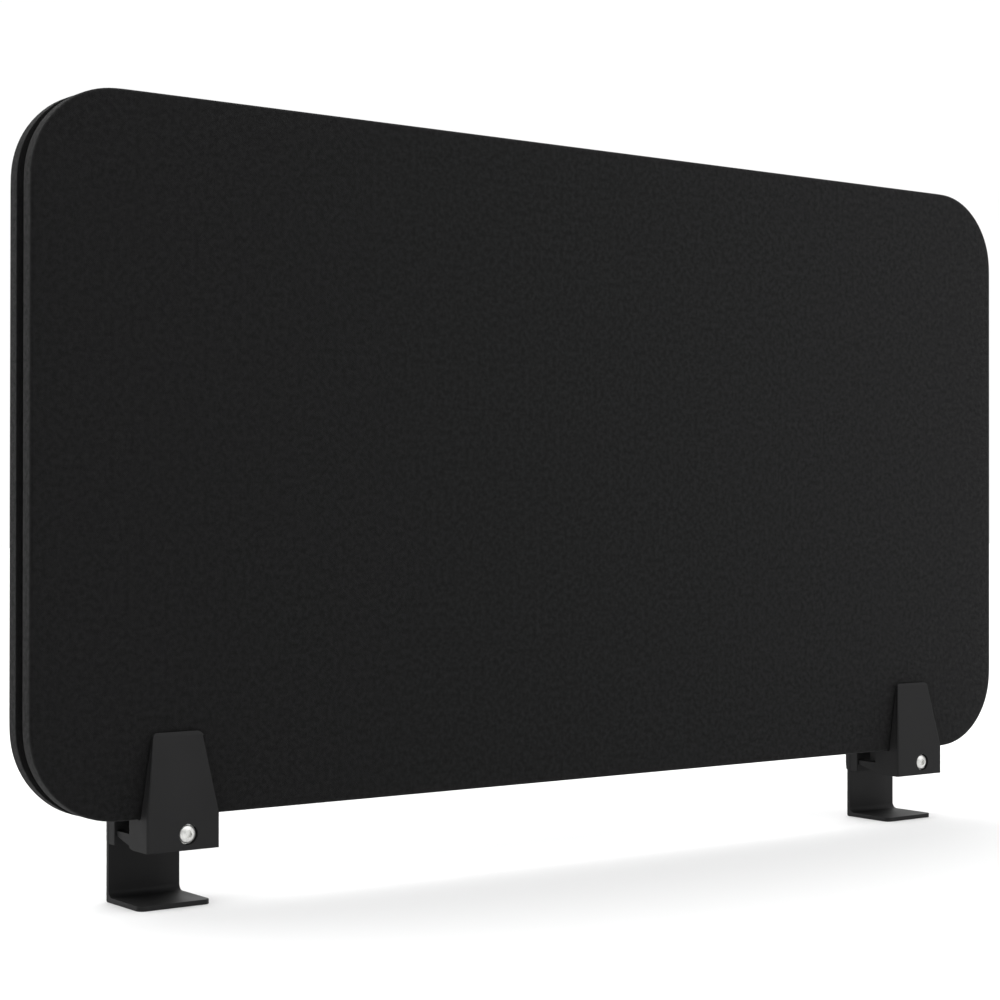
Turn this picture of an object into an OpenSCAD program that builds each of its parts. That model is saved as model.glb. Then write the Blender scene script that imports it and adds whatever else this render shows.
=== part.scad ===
// Clamp-on desk privacy panel: two fabric-covered pads on a stiff core, held by two
// screw clamps whose steel brackets hook under the desktop.
// The frame: +X along the width, +Y to the rear, +Z up, Z = 0 on the floor under the brackets.

/* [Panel] */
// Width of the panel
panel_w = 800; // [500:10:1800]
// Height of the panel, bottom edge to top edge
panel_h = 420; // [300:10:700]
// Thickness of the panel, front fabric to rear fabric
panel_t = 30; // [28:1:40]
// Radius of the panel's corners
corner_r = 54; // [40:1:60]
// Width of the groove between the two pads
groove_w = 9; // [6:0.5:9]
// Depth of the groove, measured in from the panel's edge
groove_d = 7; // [5:0.5:10]
// Thickness of the hard board behind each pad's foam
board_t = 3.5; // [3:0.5:4]
// Thickness of the fabric cover
fabric_t = 1; // [0.8:0.1:1.2]
// Rounding of the pads along their outer edge
pad_edge_r = 3; // [3:0.5:4]

/* [Clamps] */
// Distance from the panel's end to the middle of the clamp
clamp_inset = 91; // [84:1:200]
// Width of a jaw below the panel's edge
jaw_w = 47; // [40:1:56]
// Width that the jaw's sloping sides would reach at its top
jaw_top_w = 32; // [26:1:36]
// Height of a jaw above the panel's bottom edge
jaw_rise = 49.5; // [44:0.5:60]
// Depth of a jaw below the panel's bottom edge
jaw_drop = 18.5; // [17:0.5:20]
// Room between the jaw's underside and the bracket's flange, for the desktop
desk_gap = 31.5; // [22:0.5:41]
// How far the desktop reaches under the front jaw, from the flange's tip to the bracket's leg
flange_reach = 39; // [32:1:60]
// Thickness of the bracket's steel
steel_t = 3; // [2.5:0.5:3]
// Distance that the bracket can move down from where it stands
bracket_down = 10; // [4:1:14]
// Distance that the bracket can move up from where it stands
bracket_up = 5; // [2:1:5]
// Sideways offset of the clamp screw from the middle of the jaw
screw_offset = 3; // [-4:0.5:4]

/* [Hidden] */
$fn = 96;
left = -1;
right = 1;

black_fabric = [0.13, 0.13, 0.135];
black_plastic = [0.17, 0.17, 0.175];
black_steel = [0.12, 0.12, 0.125];
black_rubber = [0.08, 0.08, 0.08];
grey_foam = [0.25, 0.25, 0.26];
brown_board = [0.45, 0.36, 0.27];
zinc = [0.78, 0.78, 0.76];

eps = 0.1;                                  // overshoot of cuts, and gap of a sliding fit
face_y = panel_t / 2;                       // half thickness: the pads' outer faces
groove_y = groove_w / 2;                    // half groove: the pads' inner faces
band_t = 1;                                 // edge band around the core
pad_t = 1.3;                                // rubber pads on the jaws
grip_y = face_y + eps + pad_t;              // the jaws' gripping faces, front and rear

lip_t = 1.6;                                // jaw lip at its top
block_t = 8.6;                              // jaw in front of the panel, below its edge
front_y = grip_y + block_t;                 // front of the clamp, in front of the panel's middle
knee_z = 1.6;                               // the jaw's sides are upright below this height
jaw_corner_r = 3.5;                         // rounding of the jaw's two upper corners
top_chamfer = 2.2;                          // chamfer along the lip's top edge
block_back_y = -2.4;                        // rear of the block under the panel
heel_y = -7;                                // the jaw's underside is level up to here, then rises
boss_w = 35;                                // boss around the screw, behind the block
boss_back_y = 8.5;
boss_top_z = -1.5;
boss_floor_z = -14;
rib_w = 5;                                  // the two ribs that stop the jaws closing further
rib_inset = 1.5;                            // the ribs stand in from the jaw's sides
rib_top_z = -10;
rib_tip_z = -13;

rear_jaw_t = 7.5;
rear_face_y = grip_y + rear_jaw_t;          // rear of the rear jaw
steel_front_y = rear_face_y + eps;          // front of the bracket's leg
steel_back_y = steel_front_y + steel_t;
cover_front_y = steel_back_y + eps;
cover_t = 5.9;
cover_lip = 1.3;                            // upright edge of the cover, before its bevel
cover_inset = 0.6;                          // the cover's edge stands in from the rear jaw's
cover_bevel = 4.6;                          // its rear face stands in this much
cover_bevel_z = 5.5;                        // and this much at the bottom
back_y = cover_front_y + cover_t;           // rear of the clamp, behind the panel's middle
rear_rise = 46;                             // height of the rear jaw behind the panel
spacer_h = 8;                               // block that bridges rear jaw and cover, at their top
leg_top_z = 20;                             // top of the bracket's leg
steel_w = 47;
bend_r = 4;                                 // inner radius of the bracket's bend
heel_r = 1.5;                               // outer radius of the bracket's bend
tip_r = 4;                                  // corners of the flange's tip

screw_d = 6;                                // M6
screw_l = 55;
head_d = 10.5;
head_h = 3.3;
socket_af = 4;
socket_h = 2;
head_proud = 0.6;                           // the head stands this far in front of the jaw's face
washer_t = 1.2;
washer_d = 11.6;
counterbore_d = 12.2;
clearance_d = 6.6;
thread_d = 6.1;                             // the nut's bore, over the thread's crests
nut_w = 10;
nut_t = 3.2;
screw_z = -9.3;
head_face_y = -(front_y + head_proud);
head_seat_y = head_face_y + head_h;         // underside of the head
jaw_seat_y = head_seat_y + washer_t;        // floor of the counterbore

lift_z = jaw_drop + desk_gap + steel_t;     // the panel's bottom edge above the floor
shift_y = -(head_face_y + back_y) / 2;      // centres the whole object on Y = 0
clamp_x = panel_w / 2 - clamp_inset;

// ---- helpers ----

// From panel coordinates (Y = 0 in the panel's middle, Z = 0 at its bottom edge) to the frame
module placed() translate([0, shift_y, lift_z]) children();

// The same for a clamp on one side
module at_clamp(side) placed() translate([side * clamp_x, 0, 0]) children();

// Extrudes an outline drawn in X and Z, between two values of Y
module upright(y0, y1) translate([0, y1, 0]) rotate([90, 0, 0]) linear_extrude(y1 - y0) children();

// Extrudes a profile drawn in Y and Z, between two values of X
module across(x0, x1) translate([x0, 0, 0]) rotate([90, 0, 90]) linear_extrude(x1 - x0) children();

// A cylinder along the screw's axis, between two values of Y
module along_screw(d, y0, y1)
  translate([screw_offset, y1, screw_z]) rotate([90, 0, 0]) cylinder(d = d, h = y1 - y0);

// The panel's outline, moved in by inset
module panel_outline(inset) {
  w = panel_w - 2 * inset;
  r = corner_r - inset;
  translate([-w / 2 + r, inset]) square([w - 2 * r, panel_h - 2 * inset]);
  translate([-w / 2, inset + r]) square([w, panel_h - 2 * inset - 2 * r]);
  for (x = [-1, 1], z = [corner_r, panel_h - corner_r])
    translate([x * (w / 2 - r), z]) circle(r);
}

// A front pad's solid: outline moved in by inset, from the outer face at y0 back to y1,
// with the outer face's edge rounded by r
module pad_solid(inset, y0, y1, r) {
  corner_x = panel_w / 2 - corner_r;
  edge_y = y0 + r;
  upright(edge_y, y1) panel_outline(inset);
  upright(y0, edge_y + eps) panel_outline(inset + r);
  for (z = [inset + r, panel_h - inset - r])
    translate([-corner_x, edge_y, z]) rotate([0, 90, 0]) cylinder(r = r, h = 2 * corner_x);
  for (x = [-1, 1]) {
    translate([x * (panel_w / 2 - inset - r), edge_y, corner_r]) cylinder(r = r, h = panel_h - 2 * corner_r);
    for (z = [corner_r, panel_h - corner_r])
      translate([x * corner_x, edge_y, z]) rotate([90, 0, 0])
        rotate_extrude() translate([corner_r - inset - r, 0]) circle(r);
  }
}

// A jaw seen from the front: upright sides up to the knee, then sloping in to two round corners;
// inset draws it smaller all round, and floor_z is its lower edge
module jaw_outline(top_z, inset = 0, floor_z = -jaw_drop) {
  half = jaw_w / 2 - inset;
  slope = atan((jaw_w - jaw_top_w) / 2 / (jaw_rise - knee_z));
  cz = top_z - inset - jaw_corner_r;
  cx = half - (cz - knee_z) * tan(slope) - jaw_corner_r / cos(slope);
  tx = cx + jaw_corner_r * cos(slope);
  tz = cz + jaw_corner_r * sin(slope);
  polygon([[-half, floor_z], [half, floor_z], [half, knee_z], [tx, tz], [cx, cz + jaw_corner_r],
           [-cx, cz + jaw_corner_r], [-tx, tz], [-half, knee_z]]);
  for (x = [-cx, cx])
    translate([x, cz]) circle(jaw_corner_r);
}

// Height of the front jaw's underside at y, behind its heel
function floor_z(y) = -jaw_drop + (rib_tip_z + jaw_drop) * (y - heel_y) / (grip_y - heel_y);

// The front jaw seen from its side, without its boss and ribs
module front_jaw_profile() {
  lip_y = grip_y + lip_t;
  slope = (front_y - lip_y) / (jaw_rise - knee_z);
  polygon([[-front_y, -jaw_drop], [heel_y, -jaw_drop],
           [block_back_y, floor_z(block_back_y)], [block_back_y, -eps], [-grip_y, -eps],
           [-grip_y, jaw_rise], [-lip_y + top_chamfer / 2, jaw_rise],
           [-lip_y - top_chamfer * slope, jaw_rise - top_chamfer], [-front_y, knee_z]]);
}

// A rib seen from the jaw's side: it thins towards the rear jaw
module rib_profile() {
  start_y = block_back_y - eps;
  end_y = grip_y - eps;
  polygon([[start_y, floor_z(start_y)], [end_y, floor_z(end_y)], [end_y, rib_top_z], [start_y, rib_top_z]]);
}

// A rubber pad's outline, inside the jaw's outline
module grip_outline(top_z) {
  base_z = 6;
  r = 3;
  low = 19;
  high = 12;
  polygon([[-low, base_z], [low, base_z], [high + r, top_z - r], [high, top_z],
           [-high, top_z], [-high - r, top_z - r]]);
}

// ---- the panel ----

module core_board() {
  color(brown_board) placed() upright(-groove_y, groove_y) panel_outline(groove_d + band_t);
}

module edge_band() {
  color(black_plastic) placed() upright(-groove_y, groove_y) difference() {
    panel_outline(groove_d);
    panel_outline(groove_d + band_t);
  }
}

// The layers of the front pad, drawn in panel coordinates; the rear pad is their mirror image
module board_layer() {
  upright(-groove_y - board_t, -groove_y) panel_outline(fabric_t);
}

module foam_layer() {
  pad_solid(fabric_t, -face_y + fabric_t, -groove_y - board_t, pad_edge_r - fabric_t);
}

module fabric_layer() {
  difference() {
    pad_solid(0, -face_y, -groove_y, pad_edge_r);
    pad_solid(fabric_t, -face_y + fabric_t, -groove_y + eps, pad_edge_r - fabric_t);
  }
}

module front_board() { color(brown_board) placed() board_layer(); }
module front_foam() { color(grey_foam) placed() foam_layer(); }
module front_fabric() { color(black_fabric) placed() fabric_layer(); }
module rear_board() { color(brown_board) placed() mirror([0, 1, 0]) board_layer(); }
module rear_foam() { color(grey_foam) placed() mirror([0, 1, 0]) foam_layer(); }
module rear_fabric() { color(black_fabric) placed() mirror([0, 1, 0]) fabric_layer(); }

// ---- one clamp ----

module front_jaw(side) {
  color(black_plastic) at_clamp(side) difference() {
    union() {
      intersection() {
        upright(-front_y, block_back_y) jaw_outline(jaw_rise);
        across(-jaw_w / 2, jaw_w / 2) front_jaw_profile();
      }
      for (x = [-jaw_w / 2 + rib_inset, jaw_w / 2 - rib_inset - rib_w])
        across(x, x + rib_w) rib_profile();
      across(-boss_w / 2, boss_w / 2)
        translate([block_back_y - eps, boss_floor_z])
          square([boss_back_y - block_back_y + eps, boss_top_z - boss_floor_z]);
    }
    along_screw(clearance_d, -front_y - eps, boss_back_y + eps);
    along_screw(counterbore_d, -front_y - eps, jaw_seat_y);
  }
}

module front_jaw_pad(side) {
  color(black_rubber) at_clamp(side) upright(-grip_y, -grip_y + pad_t) grip_outline(jaw_rise - 5);
}

module washer(side) {
  color(zinc) at_clamp(side) difference() {
    along_screw(washer_d, head_seat_y, jaw_seat_y);
    along_screw(clearance_d, head_seat_y - eps, jaw_seat_y + eps);
  }
}

// Button-head screw with a hexagon socket
module clamp_screw(side) {
  dome_r = 8.5;
  rim_h = 1.2;
  color(zinc) at_clamp(side) difference() {
    union() {
      along_screw(screw_d, head_seat_y - eps, head_seat_y + screw_l);
      intersection() {
        along_screw(head_d, head_face_y, head_seat_y);
        translate([screw_offset, head_face_y + dome_r, screw_z]) sphere(dome_r);
      }
      along_screw(head_d - rim_h / 2, head_seat_y - rim_h, head_seat_y);
    }
    translate([screw_offset, head_face_y + socket_h, screw_z]) rotate([90, 0, 0])
      cylinder(d = socket_af / cos(30), h = socket_h + eps, $fn = 6);
  }
}

module rear_jaw(side) {
  spacer_z = rear_rise - jaw_corner_r - spacer_h;
  spacer_w = jaw_top_w - 2 * jaw_corner_r;
  color(black_plastic) at_clamp(side) difference() {
    union() {
      upright(grip_y, rear_face_y) jaw_outline(rear_rise);
      translate([-spacer_w / 2, rear_face_y - eps, spacer_z])
        cube([spacer_w, cover_front_y - rear_face_y + eps, spacer_h]);
    }
    along_screw(clearance_d, grip_y - eps, rear_face_y + eps);
  }
}

module rear_jaw_pad(side) {
  color(black_rubber) at_clamp(side) upright(grip_y - pad_t, grip_y) grip_outline(rear_rise - 5);
}

// Cover behind the bracket's leg, with bevelled edges, a pocket for the nut and a hole for the screw's end
module rear_cover(side) {
  pocket_w = nut_w + 4 * eps;
  edge_floor_z = -jaw_drop + cover_inset;
  back_floor_z = -jaw_drop + cover_bevel_z;
  color(black_plastic) at_clamp(side) difference() {
    hull() {
      upright(cover_front_y, cover_front_y + cover_lip) jaw_outline(rear_rise, cover_inset, edge_floor_z);
      upright(back_y - eps, back_y) jaw_outline(rear_rise, cover_bevel, back_floor_z);
    }
    translate([screw_offset - pocket_w / 2, cover_front_y - eps, screw_z - pocket_w / 2])
      cube([pocket_w, nut_t + 2 * eps, pocket_w]);
    along_screw(clearance_d, cover_front_y - eps, back_y + eps);
  }
}

// Thin square nut
module nut(side) {
  color(zinc) at_clamp(side) difference() {
    translate([screw_offset - nut_w / 2, cover_front_y, screw_z - nut_w / 2]) cube([nut_w, nut_t, nut_w]);
    along_screw(thread_d, cover_front_y - eps, cover_front_y + nut_t + eps);
  }
}

// Bent steel angle: the leg stands behind the desktop's edge, the flange lies under it
module bracket(side) {
  tip_y = steel_front_y - flange_reach;
  bottom_z = -lift_z;
  top_z = bottom_z + steel_t;
  slot_r = clearance_d / 2;
  color(black_steel) at_clamp(side) {
    difference() {
      upright(steel_front_y, steel_back_y)
        translate([-steel_w / 2, bottom_z + heel_r]) square([steel_w, leg_top_z - bottom_z - heel_r]);
      for (z = [-bracket_up, bracket_down])
        translate([0, 0, z]) along_screw(clearance_d, steel_front_y - eps, steel_back_y + eps);
      translate([screw_offset - slot_r, steel_front_y - eps, screw_z - bracket_up])
        cube([clearance_d, steel_t + 2 * eps, bracket_up + bracket_down]);
    }
    translate([0, 0, bottom_z]) linear_extrude(steel_t) {
      translate([-steel_w / 2, tip_y + tip_r]) square([steel_w, steel_back_y - heel_r - tip_y - tip_r]);
      translate([-steel_w / 2 + tip_r, tip_y]) square([steel_w - 2 * tip_r, tip_r]);
      for (x = [-1, 1])
        translate([x * (steel_w / 2 - tip_r), tip_y + tip_r]) circle(tip_r);
    }
    across(-steel_w / 2, steel_w / 2) {
      translate([steel_back_y - heel_r, bottom_z + heel_r]) circle(heel_r);
      difference() {
        translate([steel_front_y - bend_r, top_z]) square(bend_r);
        translate([steel_front_y - bend_r, top_z + bend_r]) circle(bend_r);
      }
    }
  }
}

core_board();
edge_band();
front_board();
front_foam();
front_fabric();
rear_board();
rear_foam();
rear_fabric();
front_jaw(left);  // left_front_jaw
front_jaw_pad(left);  // left_front_jaw_pad
clamp_screw(left);  // left_clamp_screw
washer(left);  // left_washer
rear_jaw(left);  // left_rear_jaw
rear_jaw_pad(left);  // left_rear_jaw_pad
rear_cover(left);  // left_rear_cover
nut(left);  // left_nut
bracket(left);  // left_bracket
front_jaw(right);  // right_front_jaw
front_jaw_pad(right);  // right_front_jaw_pad
clamp_screw(right);  // right_clamp_screw
washer(right);  // right_washer
rear_jaw(right);  // right_rear_jaw
rear_jaw_pad(right);  // right_rear_jaw_pad
rear_cover(right);  // right_rear_cover
nut(right);  // right_nut
bracket(right);  // right_bracket
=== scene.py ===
"""Clamp-on desk privacy panel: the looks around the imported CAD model."""
import math
from collections import Counter

import bmesh
import bpy
from mathutils import Matrix, Vector


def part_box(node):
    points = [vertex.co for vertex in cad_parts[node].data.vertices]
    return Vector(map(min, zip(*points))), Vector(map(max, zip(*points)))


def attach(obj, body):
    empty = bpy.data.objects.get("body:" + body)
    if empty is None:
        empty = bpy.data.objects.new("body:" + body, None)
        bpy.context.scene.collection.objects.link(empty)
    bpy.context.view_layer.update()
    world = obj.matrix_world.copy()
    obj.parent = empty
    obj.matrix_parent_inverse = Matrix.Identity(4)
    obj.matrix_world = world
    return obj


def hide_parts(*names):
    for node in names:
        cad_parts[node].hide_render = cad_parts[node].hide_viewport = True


MM = 0.001

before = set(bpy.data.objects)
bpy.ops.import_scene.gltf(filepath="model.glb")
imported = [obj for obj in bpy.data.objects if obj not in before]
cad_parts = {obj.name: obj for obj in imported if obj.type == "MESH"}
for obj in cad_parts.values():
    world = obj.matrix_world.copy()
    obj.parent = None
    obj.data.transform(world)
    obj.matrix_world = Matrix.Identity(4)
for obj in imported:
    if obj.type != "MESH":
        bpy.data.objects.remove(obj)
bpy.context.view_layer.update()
scene = bpy.context.scene

# Sizes that the CAD boxes don't give
CORNER_R = 54 * MM          # the panel's corners
PAD_EDGE_R = 2.0 * MM       # the pads' outer edge
PAD_HEM_R = 0.6 * MM        # the pads' inner edge, in the groove
HEM_T = 0.15 * MM           # the fabric turned in over the back of the board
GRID = 10 * MM              # spacing of the fabric's quads, before they are subdivided
CROWN_CAP = 0.3 * MM        # how far the foam may push the fabric out

SIDES = ("left", "right")

# The cloth simulation that blows up a pad's face
CLOTH_FRAMES = 20
CLOTH = {
    "quality": 5,
    "mass": 0.3,
    "tension_stiffness": 15,
    "compression_stiffness": 15,
    "shear_stiffness": 5,
    "bending_stiffness": 0.5,
    "use_pressure": True,
    "uniform_pressure_force": 4,
}

# Clean-up of the CAD meshes
SLIVER = 0.002 * MM                 # shorter distances and edges count as nothing
FLAT_BELOW = math.radians(0.6)      # faces that meet at less are merged
ROUND_ABOVE = math.radians(30)      # edges that turn by more are rounded
SMOOTH_BELOW = math.radians(40)     # edges that turn by less are shaded smooth


# ---------------------------------------------------------------- materials

class Nodes:
    """Short names for building the node tree of a material or a world."""

    def __init__(self, owner, shader):
        owner.use_nodes = True
        self.owner = owner
        self.tree = owner.node_tree
        self.shader = self.tree.nodes[shader]

    def new(self, kind, **values):
        node = self.tree.nodes.new(kind)
        for key, value in values.items():
            setattr(node, key, value)
        return node

    def link(self, source, target):
        self.tree.links.new(source, target)

    def put(self, target, value):
        """Links a socket, or sets a number or colour."""
        if isinstance(value, bpy.types.NodeSocket):
            self.link(value, target)
        else:
            target.default_value = value

    def set(self, name, value):
        """Links or sets one of the shader's inputs."""
        self.put(self.shader.inputs[name], value)

    def math(self, operation, a, b=0.0):
        node = self.new("ShaderNodeMath", operation=operation)
        self.put(node.inputs[0], a)
        self.put(node.inputs[1], b)
        return node.outputs[0]

    def mix(self, factor, a, b):
        """Mixes two numbers."""
        node = self.new("ShaderNodeMix", data_type="FLOAT")
        self.put(node.inputs[0], factor)
        self.put(node.inputs[2], a)
        self.put(node.inputs[3], b)
        return node.outputs[0]

    def shade(self, factor, dark, light):
        """A colour between two others, by a factor from 0 to 1."""
        node = self.new("ShaderNodeMix", data_type="RGBA")
        self.put(node.inputs[0], factor)
        node.inputs[6].default_value = (*dark, 1)
        node.inputs[7].default_value = (*light, 1)
        return node.outputs[2]

    def noise(self, vector, scale, detail=2.0, roughness=0.5):
        node = self.new("ShaderNodeTexNoise")
        self.link(vector, node.inputs["Vector"])
        node.inputs["Scale"].default_value = scale
        node.inputs["Detail"].default_value = detail
        node.inputs["Roughness"].default_value = roughness
        return node.outputs["Fac"]

    def ramp(self, value, low, high):
        """Stretches a number so that low gives 0 and high gives 1."""
        node = self.new("ShaderNodeMapRange")
        self.put(node.inputs["Value"], value)
        node.inputs["From Min"].default_value = low
        node.inputs["From Max"].default_value = high
        return node.outputs[0]

    def stretch(self, vector, scale):
        node = self.new("ShaderNodeVectorMath", operation="MULTIPLY")
        self.link(vector, node.inputs[0])
        node.inputs[1].default_value = scale
        return node.outputs[0]

    def bump(self, height, distance, strength=1.0):
        node = self.new("ShaderNodeBump")
        self.link(height, node.inputs["Height"])
        node.inputs["Distance"].default_value = distance
        node.inputs["Strength"].default_value = strength
        return node.outputs["Normal"]

    def coordinates(self, kind):
        return self.new("ShaderNodeTexCoord").outputs[kind]


def new_material(name):
    return Nodes(bpy.data.materials.new(name), "Principled BSDF")


def fabric_material():
    """Black woven fabric: plain weave, each thread a little lighter or darker than the next, with
    painted shade where the threads dip under each other.
    """
    thread = 0.6 * MM
    mottle_size = 3.2 * MM
    wander = 0.9                # how far the threads wander, in threads
    along = 0.12                # how fast a thread's tone changes along it, against across it
    n = new_material("black_weave")
    uv = n.new("ShaderNodeUVMap", uv_map="weave").outputs["UV"]
    parts = n.new("ShaderNodeSeparateXYZ")
    n.link(uv, parts.inputs[0])
    wobble = n.math("MULTIPLY", n.noise(uv, 140.0), wander)
    u = n.math("ADD", n.math("DIVIDE", parts.outputs["X"], thread), wobble)
    v = n.math("ADD", n.math("DIVIDE", parts.outputs["Y"], thread), wobble)
    warp = n.math("SINE", n.math("MULTIPLY", u, math.pi))
    weft = n.math("SINE", n.math("MULTIPLY", v, math.pi))
    warp_on_top = n.math("GREATER_THAN", n.math("MULTIPLY", warp, weft), 0.0)
    height = n.mix(warp_on_top, n.math("ABSOLUTE", weft), n.math("ABSOLUTE", warp))
    warp_tone = n.noise(n.stretch(uv, (1 / thread, along / thread, 1)), 1.0, 1.0)
    weft_tone = n.noise(n.stretch(uv, (along / thread, 1 / thread, 1)), 1.0, 1.0)
    fibre = n.noise(uv, 1 / (1.3 * thread), 3.0, 0.7)
    tone = n.mix(0.5, n.mix(warp_on_top, weft_tone, warp_tone), fibre)
    # painted shade: the weave is darker where its threads dip under each other, as if shadowed
    tone = n.math("MULTIPLY", n.ramp(tone, 0.3, 0.7), n.ramp(height, -1.6, 1.0))
    mottle = n.ramp(n.noise(uv, 1 / mottle_size, 3.0, 0.6), 0.38, 0.62)
    tone = n.mix(0.35, tone, mottle)
    n.set("Base Color", n.shade(tone, (0.0006, 0.0006, 0.0006), (0.0086, 0.0086, 0.0089)))
    n.set("Normal", n.bump(n.math("ADD", height, fibre), 0.25 * MM, 0.6))
    n.set("Roughness", 0.92)
    n.set("Specular IOR Level", 0.15)
    n.set("Sheen Weight", n.mix(mottle, 0.040, 0.080))
    n.set("Sheen Roughness", 0.45)
    n.set("Sheen Tint", (1, 1, 1, 1))
    return n.owner


def grained_material(name, dark, light, grain, depth, roughness, specular):
    """Plastic, rubber, foam or powder coat: a fine grain, and smudges in colour and roughness."""
    smudges_per_metre = 28.0
    roughness_swing = 0.06
    n = new_material(name)
    at = n.coordinates("Object")
    fine = n.noise(at, 1 / grain, 2.0, 0.6)
    smudge = n.ramp(n.noise(at, smudges_per_metre, 3.0), 0.3, 0.7)
    n.set("Base Color", n.shade(n.mix(0.5, fine, smudge), dark, light))
    n.set("Normal", n.bump(fine, depth, 0.5))
    n.set("Roughness", n.mix(smudge, roughness - roughness_swing, roughness + roughness_swing))
    n.set("Specular IOR Level", specular)
    return n.owner


def zinc_material():
    """Bright zinc plating: faint blotches and a very fine grain."""
    blotches_per_metre = 420.0
    grains_per_metre = 3500.0
    n = new_material("bright_zinc")
    at = n.coordinates("Object")
    blotch = n.ramp(n.noise(at, blotches_per_metre, 3.0), 0.3, 0.7)
    n.set("Base Color", n.shade(blotch, (0.62, 0.62, 0.60), (0.82, 0.82, 0.80)))
    n.set("Normal", n.bump(n.noise(at, grains_per_metre), 0.02 * MM, 0.5))
    n.set("Roughness", n.mix(blotch, 0.30, 0.42))
    n.set("Metallic", 0.85)
    return n.owner


def board_material(name, dark, light):
    """Hardboard or particle board: pressed chips, drawn out sideways."""
    chips_per_metre = 160.0
    length_to_height = 2.5
    n = new_material(name)
    at = n.stretch(n.coordinates("Object"), (1, 1, length_to_height))
    chips = n.ramp(n.noise(at, chips_per_metre, 4.0, 0.65), 0.35, 0.65)
    n.set("Base Color", n.shade(chips, dark, light))
    n.set("Normal", n.bump(chips, 0.2 * MM, 0.5))
    n.set("Roughness", 0.85)
    return n.owner


def floor_material():
    n = new_material("studio_floor")
    n.set("Base Color", (0.93, 0.93, 0.93, 1))
    n.set("Roughness", 0.9)
    return n.owner


FABRIC = fabric_material()
JAW_PLASTIC = grained_material(
    "jaw_plastic", (0.0135, 0.0135, 0.0138), (0.0195, 0.0195, 0.0198),
    grain=0.5 * MM, depth=0.05 * MM, roughness=0.55, specular=0.09)
BAND_PLASTIC = grained_material(
    "band_plastic", (0.014, 0.014, 0.014), (0.022, 0.022, 0.022),
    grain=0.7 * MM, depth=0.05 * MM, roughness=0.7, specular=0.3)
RUBBER = grained_material(
    "pad_rubber", (0.006, 0.006, 0.006), (0.011, 0.011, 0.011),
    grain=0.9 * MM, depth=0.08 * MM, roughness=0.85, specular=0.2)
STEEL_COAT = grained_material(
    "black_powder_coat", (0.0065, 0.0065, 0.0067), (0.0105, 0.0105, 0.0108),
    grain=0.6 * MM, depth=0.06 * MM, roughness=0.55, specular=0.2)
FOAM = grained_material(
    "grey_foam", (0.05, 0.05, 0.052), (0.09, 0.09, 0.092),
    grain=1.2 * MM, depth=0.4 * MM, roughness=0.95, specular=0.1)
ZINC = zinc_material()
HARDBOARD = board_material("hardboard", (0.12, 0.07, 0.04), (0.20, 0.13, 0.08))
CORE_BOARD = board_material("particle_board", (0.20, 0.14, 0.09), (0.34, 0.26, 0.18))


# ---------------------------------------------------------------- helpers

def add_object(name, mesh):
    piece = bpy.data.objects.new(name, mesh)
    scene.collection.objects.link(piece)
    return piece


def paint(piece, material):
    piece.data.materials.clear()
    piece.data.materials.append(material)


def smooth(piece):
    """Drops slivers and shades faces smooth, but keeps sharp edges sharp."""
    bm = bmesh.new()
    bm.from_mesh(piece.data)
    bmesh.ops.dissolve_degenerate(bm, dist=SLIVER, edges=bm.edges)
    for face in bm.faces:
        face.smooth = True
    for edge in bm.edges:
        edge.smooth = len(edge.link_faces) == 2 and edge.calc_face_angle(0) < SMOOTH_BELOW
    bm.to_mesh(piece.data)
    bm.free()


def apply_modifiers(piece):
    graph = bpy.context.evaluated_depsgraph_get()
    mesh = bpy.data.meshes.new_from_object(piece.evaluated_get(graph))
    piece.modifiers.clear()
    piece.data = mesh


def settle(piece, body, slot, *nodes):
    """Puts a finished piece on its body, in place of its CAD nodes."""
    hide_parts(*nodes)
    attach(piece, body)


# ---------------------------------------------------------------- the fabric pads

def spread(length, step):
    """Even parameters from -length/2 to length/2."""
    count = max(2, round(length / step))
    return [length * (i / count - 0.5) for i in range(count + 1)]


def round_corner(p, half, radius):
    """Maps a coordinate pair of a rectangle's grid onto the same grid with round corners."""
    inner = [h - radius for h in half]
    excess = [max(0.0, abs(c) - i) / radius for c, i in zip(p, inner)]
    if min(excess) == 0:
        return p
    s, t = excess
    bent = (s * math.sqrt(1 - t * t / 2), t * math.sqrt(1 - s * s / 2))
    return tuple(math.copysign(i + radius * b, c) for i, b, c in zip(inner, bent, p))


def outward(p, half, radius):
    """The outline's normal at one of its points."""
    inner = [h - radius for h in half]
    reach = [math.copysign(max(0.0, abs(c) - i), c) for c, i in zip(p, inner)]
    return Vector(reach).normalized()


def pad_sections(depth):
    """Steps of the cover's section, from the face's rim round to its back.
    Each says how far outward it is, how far back, and how much cloth leads up to it."""
    edge_steps, side_steps, hem_steps = 6, 3, 3
    side = depth - PAD_EDGE_R - PAD_HEM_R
    edge_length = PAD_EDGE_R * math.pi / 2
    steps = []
    for i in range(1, edge_steps + 1):
        a = math.pi / 2 * i / edge_steps
        steps.append((PAD_EDGE_R * math.sin(a), PAD_EDGE_R * (1 - math.cos(a)), PAD_EDGE_R * a))
    for i in range(1, side_steps + 1):
        run = side * i / side_steps
        steps.append((PAD_EDGE_R, PAD_EDGE_R + run, edge_length + run))
    for i in range(1, hem_steps + 1):
        a = math.pi / 2 * i / hem_steps
        out = PAD_EDGE_R - PAD_HEM_R * (1 - math.cos(a))
        back = depth - PAD_HEM_R * (1 - math.sin(a))
        steps.append((out, back, edge_length + side + PAD_HEM_R * a))
    return steps


def band(ring, following):
    """The quads between two rings."""
    for k in range(len(ring)):
        m = (k + 1) % len(ring)
        yield ring[k], following[k], following[m], ring[m]


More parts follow.
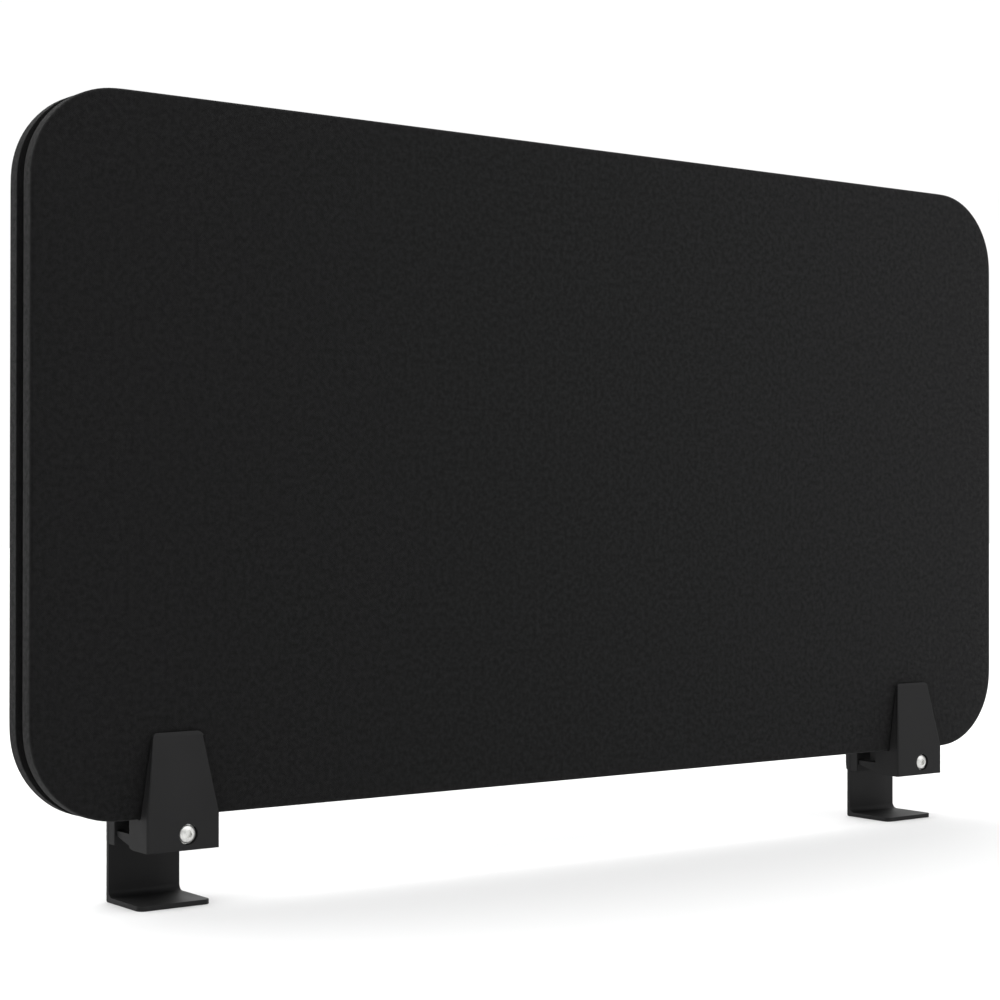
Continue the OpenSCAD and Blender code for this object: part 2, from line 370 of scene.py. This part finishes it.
def pad_mesh(name, node, facing):
    """A pad's cover as one closed quad mesh: a grid for its face, rings round its edge and side,
    and a grid behind. The face's vertices come first."""
    low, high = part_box(node)
    centre = (low + high) / 2
    face_y = (low.y if facing < 0 else high.y) - facing * CROWN_CAP
    depth = high.y - low.y - CROWN_CAP + HEM_T
    half = ((high.x - low.x) / 2 - PAD_EDGE_R, (high.z - low.z) / 2 - PAD_EDGE_R)
    radius = CORNER_R - PAD_EDGE_R
    us, vs = spread(2 * half[0], GRID), spread(2 * half[1], GRID)
    bm = bmesh.new()
    cloth = bm.loops.layers.uv.new("weave")
    flat = {}

    def vertex(p, back, uv):
        v = bm.verts.new((centre.x + p[0], face_y - facing * back, centre.z + p[1]))
        flat[v] = uv
        return v

    def sheet(back):
        """The grid at one depth, and the vertices round its rim."""
        points = [[round_corner((u, v), half, radius) for v in vs] for u in us]
        grid = [[vertex(p, back, p) for p in column] for column in points]
        rim = [column[0] for column in grid[:-1]] + grid[-1][:-1]
        rim += [column[-1] for column in grid[:0:-1]] + grid[0][:0:-1]
        return grid, rim

    def quads(grid):
        for near, far in zip(grid, grid[1:]):
            for j in range(len(near) - 1):
                yield near[j], far[j], far[j + 1], near[j + 1]

    front_grid, rim = sheet(0)
    normals = [outward(flat[v], half, radius) for v in rim]
    faces = list(quads(front_grid))
    previous = rim
    for out, back, along in pad_sections(depth):
        ring = []
        for v, normal in zip(rim, normals):
            base = Vector(flat[v])
            ring.append(vertex(base + normal * out, back, tuple(base + normal * along)))
        faces += band(previous, ring)
        previous = ring
    back_grid, back_rim = sheet(depth)
    faces += band(previous, back_rim)
    faces += [tuple(reversed(corners)) for corners in quads(back_grid)]
    for corners in faces:
        face = bm.faces.new(corners if facing < 0 else tuple(reversed(corners)))
        face.smooth = True
        for loop in face.loops:
            loop[cloth].uv = flat[loop.vert]
    mesh = bpy.data.meshes.new(name)
    bmesh.ops.recalc_face_normals(bm, faces=bm.faces)
    bm.to_mesh(mesh)
    bm.free()
    return mesh


def inflate(piece):
    """Blows up the cover's face with a cloth simulation, held at its rim and limited in its swell."""
    level = 0.01 * MM           # the face's vertices are this close to one plane
    mesh = piece.data
    face_y = mesh.vertices[0].co.y
    count = sum(abs(v.co.y - face_y) < level for v in mesh.vertices)
    quads = [tuple(p.vertices) for p in mesh.polygons if max(p.vertices) < count]
    rest = [mesh.vertices[i].co.copy() for i in range(count)]
    sheet_mesh = bpy.data.meshes.new("sheet")
    sheet_mesh.from_pydata(rest, [], quads)
    sheet = add_object("sheet", sheet_mesh)
    uses = Counter(key for p in sheet_mesh.polygons for key in p.edge_keys)
    rim = {i for key, times in uses.items() if times == 1 for i in key}
    held = sheet.vertex_groups.new(name="rim")
    held.add(sorted(rim), 1.0, "REPLACE")
    cloth = sheet.modifiers.new("cloth", "CLOTH")
    for key, value in CLOTH.items():
        setattr(cloth.settings, key, value)
    cloth.settings.vertex_group_mass = held.name
    cloth.settings.effector_weights.gravity = 0
    cloth.point_cache.frame_start = 1
    cloth.point_cache.frame_end = CLOTH_FRAMES
    for step in range(1, CLOTH_FRAMES + 1):
        scene.frame_set(step)
    graph = bpy.context.evaluated_depsgraph_get()
    blown = [v.co.copy() for v in sheet.evaluated_get(graph).data.vertices]
    scene.frame_set(1)
    for i, (start, end) in enumerate(zip(rest, blown)):
        swell = CROWN_CAP * math.tanh((end.y - start.y) / CROWN_CAP)
        mesh.vertices[i].co.y = start.y + swell
    bpy.data.objects.remove(sheet)
    bpy.data.meshes.remove(sheet_mesh)


def make_pad(name, node, facing):
    piece = add_object(name, pad_mesh(name, node, facing))
    paint(piece, FABRIC)
    inflate(piece)
    piece.modifiers.new("finer", "SUBSURF").levels = 1
    apply_modifiers(piece)
    settle(piece, "panel", "cover_fabric", node)


# ---------------------------------------------------------------- hard parts

def refined(node, name, width, weight=None, segments=3, clamp=True):
    """A copy of a CAD node with its flat faces merged and its edges rounded.
    weight gives an edge's share of the width; without it, every sharp edge has the whole width."""
    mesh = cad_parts[node].data.copy()
    bm = bmesh.new()
    bm.from_mesh(mesh)
    bmesh.ops.remove_doubles(bm, verts=bm.verts, dist=SLIVER)
    bmesh.ops.dissolve_limit(bm, angle_limit=FLAT_BELOW, verts=bm.verts, edges=bm.edges)
    share = bm.edges.layers.float.new("bevel_weight_edge")
    for edge in bm.edges:
        if len(edge.link_faces) == 2 and edge.calc_face_angle(0) > ROUND_ABOVE:
            edge[share] = weight(edge) if weight else 1.0
    bm.to_mesh(mesh)
    bm.free()
    piece = add_object(name, mesh)
    bevel = piece.modifiers.new("edges", "BEVEL")
    bevel.width = width
    bevel.segments = segments
    bevel.limit_method = "WEIGHT"
    bevel.miter_outer = "MITER_ARC"
    bevel.use_clamp_overlap = clamp
    apply_modifiers(piece)
    smooth(piece)
    normals = piece.modifiers.new("flat_faces", "WEIGHTED_NORMAL")
    normals.keep_sharp = True
    apply_modifiers(piece)
    return piece


def away_from_screw(side):
    """An edge weight that leaves the screw's hole and the nut's pocket sharp."""
    clear_radius = 9 * MM
    low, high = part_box(f"{side}_clamp_screw")
    axis = (low + high) / 2

    def weight(edge):
        middle = (edge.verts[0].co + edge.verts[1].co) / 2
        return 0.0 if math.hypot(middle.x - axis.x, middle.z - axis.z) < clear_radius else 1.0

    return weight


def make_front_jaw(side):
    """Moulded wedge: the long edges at the sides of its front are rounded, the others are sharp."""
    edge_r = 1.4 * MM
    shortest = 5 * MM           # an edge's rise from end to end, to be rounded
    side_depth = 8 * MM         # from the jaw's sides to where edges stay sharp
    front_depth = 9 * MM        # the same, from its front
    node = f"{side}_front_jaw"
    low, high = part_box(node)

    def weight(edge):
        a, b = (v.co for v in edge.verts)
        middle = (a + b) / 2
        upright = abs(a.z - b.z) > shortest
        at_side = min(middle.x - low.x, high.x - middle.x) < side_depth
        in_front = middle.y < low.y + front_depth
        return 1.0 if upright and at_side and in_front else 0.0

    piece = refined(node, f"{side}_jaw_shell", edge_r, weight, segments=5, clamp=False)
    paint(piece, JAW_PLASTIC)
    settle(piece, f"{side}_jaw", "jaw_plastic", node)


def make_hard_part(side, node, name, body, slot, material, width, weight=None):
    piece = refined(f"{side}_{node}", f"{side}_{name}", width, weight)
    paint(piece, material)
    settle(piece, body, slot, f"{side}_{node}")


# ---------------------------------------------------------------- put together

make_pad("front_cover", "front_fabric", -1)
make_pad("rear_cover", "rear_fabric", 1)
for side in SIDES:
    make_front_jaw(side)
    for node, name in (("rear_jaw", "rear_jaw_shell"), ("rear_cover", "rear_shell")):
        make_hard_part(side, node, name, f"{side}_clamp", "jaw_plastic", JAW_PLASTIC, 0.5 * MM,
                       away_from_screw(side))
    make_hard_part(side, "bracket", "steel_angle", f"{side}_angle", "bracket_steel", STEEL_COAT,
                   0.35 * MM)
    make_hard_part(side, "clamp_screw", "button_screw", f"{side}_screw", "zinc_steel", ZINC,
                   0.2 * MM)
    for node in ("washer", "nut"):
        paint(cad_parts[f"{side}_{node}"], ZINC)
    for node in ("front_jaw_pad", "rear_jaw_pad"):
        paint(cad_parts[f"{side}_{node}"], RUBBER)
for pad in ("front", "rear"):
    paint(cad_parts[f"{pad}_board"], HARDBOARD)
    paint(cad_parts[f"{pad}_foam"], FOAM)
paint(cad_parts["core_board"], CORE_BOARD)
paint(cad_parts["edge_band"], BAND_PLASTIC)


# ---------------------------------------------------------------- studio

FLOOR_HALF = 12             # metres from the floor's middle to its sides
FLOOR_CELLS = 8

AMBIENT = 0.16
GLOWS = (                   # direction, cosine at its edge and at its core, brightness
    ((0, 1, 0), 0.0, 0.6, 0.86),
    ((0, 0, 1), 0.2, 0.9, 1.6),
    ((0.5, -0.85, 0.1), 0.45, 0.95, 0.7),
)

SENSOR_WIDTH = 36           # mm, as is the lens
LENS = 78.28
CAMERA_FROM_PANEL = Vector((-0.9125, -1.1422, -0.0333))     # from the panel's middle
CAMERA_YAW = math.radians(36.63)
CAMERA_PITCH = math.radians(0.344)
CAMERA_ROLL = math.radians(0.057)


def make_floor():
    mesh = bpy.data.meshes.new("floor")
    bm = bmesh.new()
    bmesh.ops.create_grid(bm, x_segments=FLOOR_CELLS, y_segments=FLOOR_CELLS, size=FLOOR_HALF)
    bm.to_mesh(mesh)
    bm.free()
    floor = add_object("floor", mesh)
    paint(floor, floor_material())


def make_world():
    """A studio's light without lamps: white behind the panel and overhead, a softbox in front."""
    n = Nodes(bpy.data.worlds.new("studio"), "Background")
    direction = n.coordinates("Generated")
    brightness = AMBIENT
    for centre, edge, core, amount in GLOWS:
        facing = n.new("ShaderNodeVectorMath", operation="DOT_PRODUCT")
        n.link(direction, facing.inputs[0])
        n.put(facing.inputs[1], Vector(centre).normalized())
        lobe = n.new("ShaderNodeMapRange", interpolation_type="SMOOTHSTEP")
        n.link(facing.outputs["Value"], lobe.inputs["Value"])
        for socket, value in (("From Min", edge), ("From Max", core), ("To Max", amount)):
            n.put(lobe.inputs[socket], value)
        brightness = n.math("ADD", lobe.outputs[0], brightness)
    n.set("Color", (1, 1, 1, 1))
    n.set("Strength", brightness)
    scene.world = n.owner
    scene.view_settings.view_transform = "Standard"


def make_camera():
    """Stands where the photographer stood, a little below the panel's middle."""
    data = bpy.data.cameras.new("camera")
    data.sensor_width = SENSOR_WIDTH
    data.lens = LENS
    low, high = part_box("front_fabric")
    middle = Vector((0, (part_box("rear_fabric")[1].y + low.y) / 2, (low.z + high.z) / 2))
    camera = add_object("camera", data)
    camera.location = middle + CAMERA_FROM_PANEL
    turn = Matrix.Rotation(-CAMERA_YAW, 3, "Z") @ Matrix.Rotation(math.pi / 2 + CAMERA_PITCH, 3, "X")
    turn = turn @ Matrix.Rotation(CAMERA_ROLL, 3, "Z")
    camera.rotation_euler = turn.to_euler()
    scene.camera = camera


make_floor()
make_world()
make_camera()
